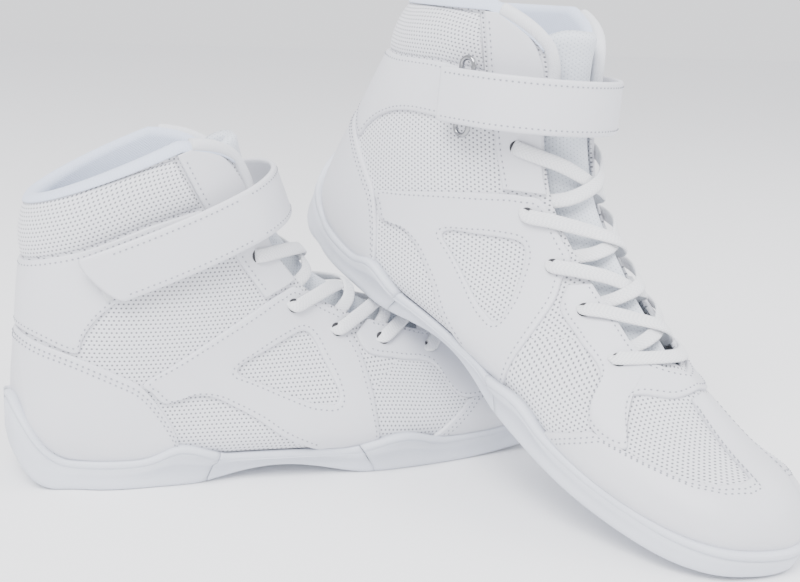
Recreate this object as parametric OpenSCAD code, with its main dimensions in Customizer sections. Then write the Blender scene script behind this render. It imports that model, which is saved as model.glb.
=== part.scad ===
// A pair of high-top cheer shoes: the right shoe stands flat and the left shoe
// leans on it with its toe on the ground. Right shoe: +X heel to toe, +Z up,
// -Y is the outer (lateral) side. The left shoe is the right one mirrored.

/* [Shoe] */
// Length of the sole from heel to toe
shoe_length = 262; // [258:1:266]
// Height of the collar at the front of the ankle
collar_height = 146; // [142:1:150]
// Width of the upper across the ball of the foot
ball_width = 78; // [76:1:80]

/* [Layers] */
// Thickness of the smooth overlays
overlay_t = 1.2; // [0.8:0.1:1.4]
// Thickness of the mesh base
mesh_t = 0.9; // [0.6:0.1:1]
// Thickness of the collar padding
foam_t = 3.2; // [2.5:0.1:3.4]
// Thickness of the rubber wall round the foot
rand_t = 2.2; // [1.8:0.1:2.4]

/* [Closure] */
// Width of the strap
strap_w = 21; // [18:1:22]
// Thickness of the strap
strap_t = 2; // [1.6:0.1:2.2]
// Width of a lace
lace_w = 5; // [4:0.5:6]
// Thickness of a lace
lace_t = 2; // [1.5:0.1:2.2]

/* [Leaning shoe] */
// Turn of the leaning shoe about the vertical
lean_turn = -65; // [-65.2:0.1:-64.8]
// Nose-down pitch of the leaning shoe
lean_pitch = 24.2; // [24.1:0.1:24.3]
// Roll of the leaning shoe about its own length
lean_roll = -1.7; // [-1.9:0.1:-1.5]

/* [Hidden] */

// Where the leaning shoe's own heel point is, above the right shoe's instep
lean_at = [148.5, 54, 93.31];
// The part's origin: the middle of the right heel's flat tread
origin = [45, 0, 0];
// Sides of a shoe
LATERAL = -1;
MEDIAL = 1;
// Scale of each direction against the drawn last
kx = shoe_length / 262;
ky = ball_width / 78;
kz = collar_height / 146;

// The last, as a fan of sections from the collar (first) to the toe (last).
// Each row: front x, z; back or bottom x, z; half width; fullness front, back
FAN = [
  [92.5, 146, 10, 111.5, 29.5, .50, .50],
  [95.5, 130, 8.5, 96, 29, .50, .50],
  [101.5, 115, 7.5, 81, 29, .50, .49],
  [108.5, 101, 6.3, 66, 30, .50, .47],
  [116.5, 90, 4.8, 50.5, 31, .52, .45],
  [125.5, 81, 4.2, 34.5, 31.5, .54, .42],
  [137, 74, 7, 17, 32, .56, .36],
  [149, 68, 24, 7.5, 33, .58, .30],
  [159.5, 63, 52, 7, 34, .60, .27],
  [170.5, 59, 84, 9, 35.5, .62, .25],
  [182, 54.5, 119, 9, 37.5, .63, .24],
  [194, 50.5, 151, 7.5, 39, .64, .24],
  [208, 46.5, 184, 7.5, 39, .62, .24],
  [224, 43, 212, 10, 36.5, .57, .24],
  [240.5, 41, 236, 13, 30.5, .50, .26],
  [252.5, 35.5, 249.5, 17, 20, .48, .34],
  [258, 25, 258, 25, 0, .50, .50]
];
TOE = len(FAN) - 1;

function fan_row(i) =
  i < 0 ? 2 * FAN[0] - FAN[1] :
  i <= TOE ? FAN[i] :
  let (s = FAN[TOE - 1]) [s[2], s[3], s[0], s[1], -s[4], s[5], s[6]];

// Smooth section at t, between the drawn rows
function section(t) =
  let (i = max(min(floor(t), TOE - 1), 0), f = t - i,
       a = fan_row(i - 1), b = fan_row(i), c = fan_row(i + 1), d = fan_row(i + 2))
  0.5 * (2 * b + (c - a) * f + (2 * a - 5 * b + 4 * c - d) * f * f
         + (3 * b - a - 3 * c + d) * f * f * f);

// Centre line of the last in plan: the toe turns to the inner side
function centre(x) =
  let (s = max(min((x - 90) / 172, 1), 0))
  8 * s * s * (3 - 2 * s) - 4 * exp(-pow((x - 130) / 42, 2));

// Point of the last at t; w runs -1 (front, lateral) to 0 (back or bottom) to 1 (front, medial)
function last_point(t, w) =
  let (v = w > 1 ? w - 2 : w < -1 ? w + 2 : w,
       s = section(t),
       q = (1 - cos(180 * (1 - abs(v)))) / 2,
       a = s[5], b = s[6],
       full = pow(a / (a + b), a) * pow(b / (a + b), b),
       x = s[0] + q * (s[2] - s[0]),
       y = s[4] * pow(q, a) * pow(max(1 - q, 0), b) / full * sign(v))
  [x * kx, (y + centre(x)) * ky, (s[1] + q * (s[3] - s[1])) * kz];

// The same point moved out along the skin's normal
function skin(t, w, out) =
  t > TOE - 0.02 ? last_point(TOE, 0) + [out, 0, 0] :
  let (dt = last_point(t + 0.01, w) - last_point(t - 0.01, w),
       dw = last_point(t, w + 0.004) - last_point(t, w - 0.004),
       n = cross(dw, dt))
  last_point(t, w) + out * n / norm(n);

// Side of the section line that a side-view point falls on
function fan_side(t, x, z) =
  let (s = section(t)) (s[2] - s[0]) * (z - s[1]) - (s[3] - s[1]) * (x - s[0]);
function fan_search(x, z, lo, hi, n) =
  n == 0 ? (lo + hi) / 2 :
  let (m = (lo + hi) / 2)
  fan_side(m, x, z) > 0 ? fan_search(x, z, m, hi, n - 1) : fan_search(x, z, lo, m, n - 1);

// Side-view point [x, z] to [t, w] on one side of the last
function on_last(p, side) =
  let (t = fan_search(p[0], p[1], 0, TOE - 0.05, 16), s = section(t),
       d = [s[2] - s[0], s[3] - s[1]],
       q = max(min(((p[0] - s[0]) * d[0] + (p[1] - s[1]) * d[1]) / (d * d), 1), 0))
  [t, side * (1 - acos(1 - 2 * q) / 180)];
function side_point(p, side, out) = let (v = on_last(p, side)) skin(v[0], v[1], out);

// Smooth curve through hand-set points, at u from 0 to 1
function clampi(i, n) = max(min(i, n - 1), 0);
function along(p, u) =
  let (n = len(p), s = u * (n - 1), i = min(floor(s), n - 2), f = s - i,
       a = p[clampi(i - 1, n)], b = p[i], c = p[i + 1], d = p[clampi(i + 2, n)])
  0.5 * (2 * b + (c - a) * f + (2 * a - 5 * b + 4 * c - d) * f * f
         + (3 * b - a - 3 * c + d) * f * f * f);

// Closed solid between an outer and an inner grid of points. loop joins the last row to the first
module slab(outer, inner, loop = false, flip = false) {
  rows = len(outer);
  cols = len(outer[0]);
  last = loop ? rows : rows - 1;
  base = rows * cols;
  function at(i, j) = (i % rows) * cols + j;
  skin_faces = [for (i = [0 : last - 1], j = [0 : cols - 2])
    each [[at(i, j), at(i, j + 1), at(i + 1, j + 1)], [at(i, j), at(i + 1, j + 1), at(i + 1, j)]]];
  back_faces = [for (f = skin_faces) [base + f[0], base + f[2], base + f[1]]];
  low_edge = [for (i = [0 : last - 1])
    each [[at(i, 0), at(i + 1, 0), base + at(i + 1, 0)], [at(i, 0), base + at(i + 1, 0), base + at(i, 0)]]];
  high_edge = [for (i = [0 : last - 1]) let (j = cols - 1)
    each [[at(i, j), base + at(i + 1, j), at(i + 1, j)], [at(i, j), base + at(i, j), base + at(i + 1, j)]]];
  start_edge = loop ? [] : [for (j = [0 : cols - 2])
    each [[at(0, j), base + at(0, j + 1), at(0, j + 1)], [at(0, j), base + at(0, j), base + at(0, j + 1)]]];
  end_edge = loop ? [] : [for (j = [0 : cols - 2]) let (i = rows - 1)
    each [[at(i, j), at(i, j + 1), base + at(i, j + 1)], [at(i, j), base + at(i, j + 1), base + at(i, j)]]];
  faces = concat(skin_faces, back_faces, low_edge, high_edge, start_edge, end_edge);
  polyhedron(
    points = concat([for (r = outer) each r], [for (r = inner) each r]),
    faces = flip ? [for (f = faces) [f[0], f[2], f[1]]] : faces, convexity = 6);
}

// Panel on one side of the shoe: rows of side-view points, all of the same length
module side_panel(rows, side, low, high, n = 8, m = 3) {
  v = [for (i = [0 : n]) [for (j = [0 : m])
    on_last(along([for (r = rows) along(r, i / n)], j / m), side)]];
  slab([for (r = v) [for (p = r) skin(p[0], p[1], high)]],
       [for (r = v) [for (p = r) skin(p[0], p[1], low)]], flip = side == LATERAL);
}

// Panel that runs round the heel from one side to the other; both edges start at the back
module heel_panel(top, bottom, low, high, n = 7, m = 3) {
  v = [for (i = [-n : n]) let (u = pow(abs(i) / n, 1.5), side = i < 0 ? LATERAL : MEDIAL,
         a = along(bottom, u), b = along(top, u))
    [for (j = [0 : m]) let (p = on_last(a + (b - a) * j / m, side)) [p[0], i == 0 ? 0 : p[1]]]];
  slab([for (r = v) [for (p = r) skin(p[0], p[1], high)]],
       [for (r = v) [for (p = r) skin(p[0], p[1], low)]], flip = true);
}

// Panel with a window: outline and window have matching points
module window_panel(outline, window, side, low, high, n = 30, m = 2) {
  v = [for (i = [0 : n - 1]) let (u = i / n)
    [for (j = [0 : m]) let (a = along(window, u), b = along(outline, u))
      on_last(a + (b - a) * j / m, side)]];
  slab([for (r = v) [for (p = r) skin(p[0], p[1], high)]],
       [for (r = v) [for (p = r) skin(p[0], p[1], low)]], loop = true, flip = side == MEDIAL);
}

// Shell over the fan from start(w) to t1, open where it would pass reach(t)
module fan_shell(t1, n, m, high, low, start = function(w) 0, reach = function(t) 1) {
  v = [for (i = [0 : n]) [for (j = [0 : m])
    let (k = 2 * j / m - 1, a = start(k * reach(0)), t = a + (t1 - a) * i / n) [t, k * reach(t)]]];
  slab([for (r = v) [for (p = r) skin(p[0], p[1], high(p[0]))]],
       [for (r = v) [for (p = r) skin(p[0], p[1], low(p[0]))]], flip = true);
}

// Panel over the front centre line, from w0 on the medial side to w0 on the lateral side
module front_panel(w0, t1, n, m, start, high, low) {
  v = [for (i = [0 : n]) let (w = w0 + (2 - 2 * w0) * i / n, a = start(w > 1 ? 2 - w : w))
    [for (j = [0 : m]) [a + (t1 - a) * j / m, w]]];
  slab([for (r = v) [for (p = r) skin(p[0], p[1], high(p[1] > 1 ? 2 - p[1] : p[1]))]],
       [for (r = v) [for (p = r) skin(p[0], p[1], low(p[1] > 1 ? 2 - p[1] : p[1]))]]);
}

// Layer depths below and above the last
gap = 1;
over_low = 0.1;
over_high = over_low + overlay_t;
mesh_high = -gap;
mesh_low = mesh_high - mesh_t;
inner_high = mesh_low - 0.5;
foam_low = inner_high - foam_t;
lining_t = 0.7;
counter_t = 1;
// Girth positions of the throat edge and of the eyelets, and where the throat ends
THROAT = 0.81;
// Rounded corner of the collar: how far down it starts and how far back it reaches
CORNER = 1.4;
CORNER_BACK = 0.22;
EYELET = 0.735;
THROAT_END = 10.75;
EYELETS = [3.42, 5.45, 7.05, 8.6, 10.15];

function ease(v) = let (c = max(min(v, 1), 0)) c * c * (3 - 2 * c);
function rim(w) = max(CORNER * (1 - sqrt(max(THROAT - abs(w), 0) / CORNER_BACK)), 0);
function throat_reach(t) =
  t < CORNER ? THROAT - CORNER_BACK * pow(1 - max(t, 0) / CORNER, 2) :
  t < 9.8 ? THROAT : THROAT + 0.16 * ease((t - 9.8) / 0.95);

// Value at w in a table of [w, value] rows
function table(rows, w, i = 0) =
  i >= len(rows) - 2 || w < rows[i + 1][0] ?
    rows[i][1] + (rows[i + 1][1] - rows[i][1]) * (w - rows[i][0]) / (rows[i + 1][0] - rows[i][0]) :
    table(rows, w, i + 1);

// ---- Sole ----
function sole_under(x) =
  let (h = max(18 - x, 0) / 18, toe = max(x - 180, 0) / 82)
  24 * (1 - sqrt(max(1 - h * h, 0))) + 5 * pow(max(1 - pow((x - 105) / 38, 2), 0), 2) + 15 * toe * toe;
function sole_top(x) =
  12.3 + 25 * pow(max(22 - x, 0) / 22, 2) + 6 * exp(-pow((x - 62) / 9, 2))
  + 5 * exp(-pow((x - 157) / 11, 2)) + 14 * pow(max(x - 185, 0) / 77, 2);
function sole_floor(x) =
  5 + 10 * pow(max(20 - x, 0) / 20, 2) + 3 * exp(-pow((x - 105) / 25, 2))
  + 11.5 * pow(max(x - 195, 0) / 63, 1.6);
// Height at which the outline of the sole is taken off the last
function outline_z(x) =
  11 + 22 * pow(max(28 - x, 0) / 28, 2) + 14 * pow(max(x - 180, 0) / 78, 2);
function outline_point(x, z, side, out) =
  x > 257.9 ? skin(TOE, 0, out) : side_point([x, z], x < 4.4 ? 0 : side, out);

module sole_unit(x0, x1, n) {
  xs = [for (i = [0 : n]) let (a = acos(1 - 2 * (x0 - 4.2) / 253.8), b = acos(1 - 2 * (x1 - 4.2) / 253.8))
    4.2 + 253.8 * (1 - cos(a + (b - a) * i / n)) / 2];
  wall = 1.6 + rand_t;
  function half(x, side) =
    let (z = outline_z(x), tip = outline_point(x, z, side, 0.6), low = outline_point(x, z, side, wall - 0.2),
         top = outline_point(x, z, side, wall), zt = sole_top(top[0]),
         lip = outline_point(x, max(zt, z), side, 1.6), inner = outline_point(x, z, side, 1.6))
    [[tip[0], tip[1], sole_under(tip[0])], [low[0], low[1], sole_under(low[0]) + 3.2],
     [top[0], top[1], zt], [lip[0], lip[1], zt], [inner[0], inner[1], sole_floor(inner[0])]];
  rows = [for (x = xs) let (xc = 10 + 238 * (x - 4.2) / 253.8, y = centre(xc) * ky,
       l = half(x, LATERAL), m = half(x, MEDIAL))
    concat([[xc, y, sole_under(xc)]], l, [[xc, y, sole_floor(xc)]], [for (i = [4 : -1 : 0]) m[i]])];
  k = len(rows[0]);
  function at(i, j) = i * k + j % k;
  walls = [for (i = [0 : n - 1], j = [0 : k - 1])
    each [[at(i, j), at(i + 1, j + 1), at(i + 1, j)], [at(i, j), at(i, j + 1), at(i + 1, j + 1)]]];
  half_cap = [[0, 5, 1], [1, 5, 2], [2, 5, 3], [3, 5, 4], [0, 6, 5]];
  function cap(i) = [for (f = half_cap)
    each [[for (j = f) at(i, j)], [at(i, k - f[0]), at(i, k - f[2]), at(i, k - f[1])]]];
  caps = concat(x0 < 4.3 ? [] : cap(0), x1 > 257.9 ? [] : [for (f = cap(n)) [f[0], f[2], f[1]]]);
  polyhedron(points = [for (r = rows) each r], faces = concat(walls, caps), convexity = 8);
}

heel_end = 74;
shank_end = 143;
cut = 0.4;
module heel_outsole() color("whitesmoke") sole_unit(4.2, heel_end, 9);
module shank() color("white") sole_unit(heel_end + cut, shank_end, 6);
module forefoot_outsole() color("whitesmoke") sole_unit(shank_end + cut, 258, 13);

// ---- Inside ----
module insole_board() color("burlywood")
  fan_shell(15, 10, 4, start = function(w) 7, reach = function(t) 0.2,
            high = function(t) inner_high, low = function(t) inner_high - 1);
module sockliner() color("lightblue")
  fan_shell(15, 10, 4, start = function(w) 7, reach = function(t) 0.2,
            high = function(t) inner_high - 1.3, low = function(t) inner_high - 4);
module heel_counter() color("tan")
  fan_shell(6.4, 4, 10, start = function(w) 4.2, reach = function(t) 0.3,
            high = function(t) inner_high, low = function(t) inner_high - counter_t);
module toe_puff() color("tan")
  front_panel(0.36, 15.6, 12, 4, start = function(w) 13.7,
              high = function(w) inner_high - 0.3, low = function(w) inner_high - 1.1);
function lining_high(t) = t < 4 ? foam_low - 0.3 : foam_low - 0.3 + 2 * ease((t - 4) / 1.2);
module collar_lining() color("aliceblue")
  fan_shell(6.3, 11, 20, start = function(w) rim(w) - 0.1, reach = function(t) 0.655,
            high = function(t) lining_high(t), low = function(t) lining_high(t) - lining_t);
module collar_foam() color("lightyellow")
  fan_shell(3.9, 6, 18, start = function(w) rim(w) + 0.1, reach = function(t) 0.6,
            high = function(t) inner_high - 0.5, low = function(t) foam_low);

// ---- Mesh base ----
module quarter_mesh() color("white")
  fan_shell(THROAT_END, 20, 22, start = function(w) rim(w) + 0.03, reach = function(t) throat_reach(t),
            high = function(t) mesh_high, low = function(t) mesh_low);
module vamp_mesh() color("white") {
  rings = 7;
  around = 20;
  start = THROAT_END + 0.06;
  v = [for (i = [0 : around - 1])
    [for (j = [0 : rings]) [start + (TOE - start) * j / rings, 2 * i / around - 1]]];
  slab([for (r = v) [for (p = r) skin(p[0], p[1], mesh_high)]],
       [for (r = v) [for (p = r) skin(p[0], p[1], mesh_low)]], loop = true);
}

// ---- Overlays, as side-view outlines ----
COLLAR_TOP = [[10, 110.8], [19, 114.3], [29, 118], [40, 122], [50, 125.6], [59.6, 128.8]];
COLLAR_SEAM = [
  [8.2, 88.8], [17, 91.8], [28, 95.4], [40, 100.3], [50, 104.4], [60, 107.4], [70.4, 110.2]
];
module collar_mesh() color("white")
  heel_panel(COLLAR_TOP, COLLAR_SEAM, over_low, over_high, n = 8);

ANKLE_TOP = [[8.2, 88], [17, 91], [28, 94.5], [39, 99], [50, 103.5], [60, 106.5], [70.9, 109.4]];
ANKLE_LOW = [
  [5.8, 62], [12, 59.8], [24, 55.4], [26.5, 61], [31, 68], [39, 75.3], [48, 80.3], [58, 84], [70, 88],
  [82.2, 91.5]
];
module ankle_overlay() color("whitesmoke")
  heel_panel(ANKLE_TOP, ANKLE_LOW, over_low, over_high, n = 8, m = 4);

HEEL_TOP = [
  [5.4, 61], [11, 58.4], [24, 54], [40.5, 46.5], [47.5, 42.3], [53.5, 35], [59, 26], [62, 18.5],
  [64, 13]
];
HEEL_LOW = [
  [9, 15.5], [14, 13.2], [22, 12], [32, 11.5], [42, 11.5], [50, 11.5], [56, 11.5], [60, 11.5],
  [63, 11.5]
];
module heel_overlay() color("whitesmoke")
  heel_panel(HEEL_TOP, HEEL_LOW, over_low, over_high, n = 8, m = 7);

QUARTER = [
  [48.6, 43.6], [60, 50.2], [80, 62], [98, 71.8], [105, 74.8], [110, 76.4], [114.4, 74.6], [119.5, 70.8],
  [126.5, 66.8], [133, 62.8], [135, 56.5], [139, 48], [141, 36], [141.8, 25], [143, 15], [138, 12.2],
  [128, 12.2], [117, 13], [103, 19.5], [92.5, 27], [83, 32.6], [75, 36.6], [66.5, 37.8], [59, 35.6],
  [55.3, 35.8], [51.5, 39.8], [48.6, 43.6]
];
WINDOW = [
  [86, 47.5], [89, 49.7], [97, 53], [104, 56], [109.5, 58.2], [112.5, 59], [115, 58.8], [117, 57.5],
  [118.5, 55.5], [120, 52.5], [121.5, 48.5], [124, 43], [125.4, 39.2], [126.5, 36], [126.6, 33.4],
  [125.6, 31.6],
  [123.6, 30.8], [120.5, 31.2], [115, 32], [108, 34.5], [101, 37.5], [94.5, 40.5], [89.5, 42.7], [86.5, 44.2],
  [85.4, 45.3], [85.3, 46.4], [86, 47.5]
];
module lateral_quarter() color("whitesmoke") window_panel(QUARTER, WINDOW, LATERAL, over_low, over_high);
module medial_quarter() color("whitesmoke") window_panel(QUARTER, WINDOW, MEDIAL, over_low, over_high);

FACING_BACK = [
  [61.2, 130.6], [66.4, 121], [71.4, 112], [76.4, 104.5], [81.4, 96.8], [89, 85.3], [97.6, 73.6]
];
FACING_FRONT = [
  [66.5, 132.6], [79.4, 129.6], [88, 120.5], [93.2, 110], [98.4, 99], [105.4, 86.6], [111.4, 79]
];
module eyelet_facing() color("whitesmoke")
  for (side = [LATERAL, MEDIAL])
    side_panel([FACING_FRONT, FACING_BACK], side, over_low, over_high, n = 8, m = 2);

// Throat edge and outer edge of the vamp overlay, from the front centre back, as [t, w]
VAMP_IN = [
  [10.85, 1], [10.7, 0.92], [10.4, 0.85], [10.2, 0.83], [9.9, 0.815], [9.6, 0.81], [8.9, 0.81],
  [8.1, 0.81], [7.6, 0.81]
];
VAMP_OUT = [
  [11.4, 1], [11.45, 0.84], [11.15, 0.69], [12.1, 0.55], [11.5, 0.5], [10.5, 0.65], [9.5, 0.66],
  [8.65, 0.67], [7.7, 0.74]
];
function straight(p, u) =
  let (s = u * (len(p) - 1), i = min(floor(s), len(p) - 2)) p[i] + (p[i + 1] - p[i]) * (s - i);
module vamp_overlay() color("whitesmoke") {
  n = 16;
  m = 3;
  v = [for (i = [-n : n]) let (u = abs(i) / n, a = straight(VAMP_IN, u), b = straight(VAMP_OUT, u))
    [for (j = [0 : m]) let (p = a + (b - a) * j / m) [p[0], i < 0 ? -p[1] : p[1]]]];
  slab([for (r = v) [for (p = r) skin(p[0], p[1], over_high)]],
       [for (r = v) [for (p = r) skin(p[0], p[1], over_low)]], flip = true);
}

TOE_SEAM = [[0.2, 11.35], [0.35, 11.45], [0.49, 11.6], [0.55, 12.3], [0.62, 13.05], [0.7, 13.5], [0.8, 13.75],
            [0.87, 13.75], [0.9, 11.6], [1, 11.5]];
module toe_cap() color("whitesmoke")
  front_panel(0.2, TOE, 32, 5, start = function(w) table(TOE_SEAM, w),
              high = function(w) over_high, low = function(w) over_low);

// ---- Swept cords ----
function ahead(p, i) =
  let (a = p[max(i - 1, 0)], b = p[min(i + 1, len(p) - 1)]) (b - a) / norm(b - a);
module sweep(path, ups, width, thick, sides = 8) {
  n = len(path);
  rings = [for (i = [0 : n - 1])
    let (d = ahead(path, i), s = cross(d, ups[i]), x = s / norm(s), y = cross(x, d))
    [for (k = [0 : sides - 1]) let (a = 360 * k / sides + 180 / sides)
      path[i] + x * cos(a) * width / 2 + y * sin(a) * thick / 2]];
  function at(i, k) = i * sides + k % sides;
  polyhedron(points = [for (r = rings) each r], convexity = 10, faces = concat(
    [for (i = [0 : n - 2], k = [0 : sides - 1])
      each [[at(i, k), at(i + 1, k + 1), at(i + 1, k)], [at(i, k), at(i, k + 1), at(i + 1, k + 1)]]],
    [for (k = [1 : sides - 2]) [at(0, 0), at(0, k + 1), at(0, k)]],
    [for (k = [1 : sides - 2]) [at(n - 1, 0), at(n - 1, k), at(n - 1, k + 1)]]));
}
module skin_cord(route, width, thick, sides = 8)
  sweep([for (r = route) skin(r[0], r[1], r[2])],
        [for (r = route) skin(r[0], r[1], 1) - skin(r[0], r[1], 0)], width, thick, sides);

PIPING = [0.15, 0.35, 0.6, 0.95, 1.4, 1.9, 2.4, 2.9];
module collar_piping() color("white")
  for (side = [LATERAL, MEDIAL])
    skin_cord([for (t = PIPING) [t, side * (throat_reach(t) + 0.028), -0.4]], 3.6, 3.6, 6);

// Crossing of the lace from one eyelet to the next on the other side; lift is its height at the centre
function crossing(i, side, step, lift) =
  let (ta = EYELETS[i], tb = EYELETS[i + step], d = tb - ta)
  [[ta, side * EYELET, 2.4], [ta + 0.08 * d, side * 0.79, 2.6], [ta + 0.2 * d, side * 0.87, 1.6],
   [ta + 0.42 * d, side, lift], [ta + 0.66 * d, -side * 0.87, 0.5], [tb - 0.2 * d, -side * 0.77, -2.6]];
function lace_end(side) = [[2, side * 0.7, -3.3], [2.7, side * 0.7, -3.3], [3.3, side * 0.725, -2.4]];
last_eyelet = len(EYELETS) - 1;
LACE_DOWN = [for (i = [0 : last_eyelet - 1]) each crossing(i, i % 2 == 0 ? MEDIAL : LATERAL, 1, -0.7)];
LACE_UP = [for (i = [last_eyelet : -1 : 1]) each reverse_crossing(i)];
function reverse_crossing(i) =
  let (c = crossing(i - 1, i % 2 == 0 ? MEDIAL : LATERAL, 1, 1.7)) [for (k = [5 : -1 : 0]) c[k]];
BAR = [[EYELETS[last_eyelet], EYELET, 2.4], [10.3, 1, 1.6], [EYELETS[last_eyelet], -EYELET, 2.4]];
LACE = concat(lace_end(MEDIAL), LACE_DOWN, BAR, LACE_UP, [for (i = [2 : -1 : 0]) lace_end(LATERAL)[i]]);
module lace() color("white") skin_cord(LACE, lace_w, lace_t);
module lace_tips() color("gainsboro")
  for (side = [LATERAL, MEDIAL])
    skin_cord([[1.93, side * 0.7, -3.3], [1.5, side * 0.7, -3.3], [1.1, side * 0.7, -3.3]], 2.4, 2.4);

// ---- Tongue ----
function tongue_high(w) = -3.3 - 1.9 * ease((1 - w) / 0.15);
function tongue_low(w) = min(tongue_high(w) - 1.4, -5.1);
function tongue_start(w) = 0.3 + 0.6 * ease((1 - w) / 0.25);
module tongue() color("aliceblue")
  front_panel(0.745, 10.95, 8, 12, start = function(w) tongue_start(w),
              high = function(w) tongue_high(w), low = function(w) tongue_low(w));
module tongue_lining() color("aliceblue")
  front_panel(0.755, 10.9, 8, 12, start = function(w) tongue_start(w) + 0.05,
              high = function(w) tongue_low(w) - 0.2, low = function(w) tongue_low(w) - 0.7);

// ---- Strap, drawn in its own tilted plane ----
strap_tilt = 21.55;
strap_rise = 71.6;
stretch = 1 / cos(strap_tilt);
module strap_plane() translate([0, 0, strap_rise * kz]) rotate([0, -strap_tilt, 0]) children();
STRAP = [[89, -32], [97, -27.6], [104, -19.8], [108.6, -9.5], [110, 2], [108.4, 13], [104, 22.8],
         [97.5, 30.4], [90, 35.6], [82, 38], [66, 38], [64, 37.2], [63.2, 35.2], [64, 33.2], [66, 32.4],
         [72, 32.4]];
TAIL = [[27, -29.9], [38, -33.2], [50, -35.3], [62, -36.1], [76, -35.3], [88.5, -32.6]];
HOOK_FROM = [[31, -31.1], [38, -33.2], [50, -35.3], [57, -35.77]];
function band_side(p, d) = [for (i = [0 : len(p) - 1])
  let (v = ahead(p, i)) p[i] + d * [v[1], -v[0]]];
module band(path, inner, outer, width) {
  p = [for (q = path) [q[0] * stretch, q[1]]];
  b = band_side(p, outer);
  translate([0, 0, -width / 2]) linear_extrude(width)
    polygon(concat(band_side(p, inner), [for (i = [len(p) - 1 : -1 : 0]) b[i]]));
}
module strap() color("whitesmoke") strap_plane() band(STRAP, -strap_t / 2, strap_t / 2, strap_w);
module strap_tail() color("whitesmoke") strap_plane() band(TAIL, -strap_t / 2, strap_t / 2, strap_w);
module hook_patch() color("silver") strap_plane() band(HOOK_FROM, -1.75, -1.2, strap_w - 4);
LOOP_TOP = [[31, 92.6], [40, 96.2], [48, 99.3], [57, 102.9]];
LOOP_LOW = [[35, 76.8], [44, 80.3], [52, 83.5], [61, 87]];
module loop_patch() color("silver")
  side_panel([LOOP_TOP, LOOP_LOW], LATERAL, over_high + 0.3, over_high + 0.9, n = 5, m = 3);

ring_x = 70;
ring_w = 6;
ring_y = 35.2;
wire = 1;
bar_half = strap_w / 2 + 1.2;
module ring_bend()
  translate([0, 0, bar_half]) rotate([90, 0, 0])
    rotate_extrude(angle = 180) translate([ring_w / 2, 0]) circle(wire, $fn = 24);
module strap_ring() color("silver") strap_plane() translate([(ring_x + ring_w / 2) * stretch, ring_y, 0]) {
  for (x = [-1, 1]) translate([x * ring_w / 2, 0, -bar_half]) cylinder(h = 2 * bar_half, r = wire, $fn = 24);
  ring_bend();
  mirror([0, 0, 1]) ring_bend();
}
tab_w = 15;
module ring_tab() color("whitesmoke") strap_plane()
  translate([(ring_x + ring_w / 2) * stretch + ring_w / 2, ring_y, -tab_w / 2])
    difference() {
      union() {
        cylinder(h = tab_w, r = 1.65, $fn = 24);
        translate([0.2, -3.2, 0]) cube([1.4, 3.2, tab_w]);
        translate([0.2, -3.8, 0]) cube([9, 0.9, tab_w]);
      }
      translate([0, 0, -1]) cylinder(h = tab_w + 2, r = 1.2, $fn = 24);
    }

// ---- The two shoes ----
module right() translate(-origin) children();
module left()
  translate(lean_at - origin) rotate([lean_roll, lean_pitch, lean_turn]) mirror([0, 1, 0]) children();

right() heel_outsole();  // right_heel_outsole
right() shank();  // right_shank
right() forefoot_outsole();  // right_forefoot_outsole
right() insole_board();  // right_insole_board
right() sockliner();  // right_sockliner
right() collar_lining();  // right_collar_lining
right() collar_foam();  // right_collar_foam
right() heel_counter();  // right_heel_counter
right() toe_puff();  // right_toe_puff
right() quarter_mesh();  // right_quarter_mesh
right() vamp_mesh();  // right_vamp_mesh
right() collar_mesh();  // right_collar_mesh
right() ankle_overlay();  // right_ankle_overlay
right() heel_overlay();  // right_heel_overlay
right() lateral_quarter();  // right_lateral_quarter
right() medial_quarter();  // right_medial_quarter
right() eyelet_facing();  // right_eyelet_facing
right() vamp_overlay();  // right_vamp_overlay
right() toe_cap();  // right_toe_cap
right() collar_piping();  // right_collar_piping
right() tongue();  // right_tongue
right() tongue_lining();  // right_tongue_lining
right() lace();  // right_lace
right() lace_tips();  // right_lace_tips
right() strap();  // right_strap
right() strap_tail();  // right_strap_tail
right() hook_patch();  // right_hook_patch
right() loop_patch();  // right_loop_patch
right() strap_ring();  // right_strap_ring
right() ring_tab();  // right_ring_tab
left() heel_outsole();  // left_heel_outsole
left() shank();  // left_shank
left() forefoot_outsole();  // left_forefoot_outsole
left() insole_board();  // left_insole_board
left() sockliner();  // left_sockliner
left() collar_lining();  // left_collar_lining
left() collar_foam();  // left_collar_foam
left() heel_counter();  // left_heel_counter
left() toe_puff();  // left_toe_puff
left() quarter_mesh();  // left_quarter_mesh
left() vamp_mesh();  // left_vamp_mesh
left() collar_mesh();  // left_collar_mesh
left() ankle_overlay();  // left_ankle_overlay
left() heel_overlay();  // left_heel_overlay
left() lateral_quarter();  // left_lateral_quarter
left() medial_quarter();  // left_medial_quarter
left() eyelet_facing();  // left_eyelet_facing
left() vamp_overlay();  // left_vamp_overlay
left() toe_cap();  // left_toe_cap
left() collar_piping();  // left_collar_piping
left() tongue();  // left_tongue
left() tongue_lining();  // left_tongue_lining
left() lace();  // left_lace
left() lace_tips();  // left_lace_tips
left() strap();  // left_strap
left() strap_tail();  // left_strap_tail
left() hook_patch();  // left_hook_patch
left() loop_patch();  // left_loop_patch
left() strap_ring();  // left_strap_ring
left() ring_tab();  // left_ring_tab
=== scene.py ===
import math

import bmesh
import bpy
from mathutils import Matrix, Vector


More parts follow.
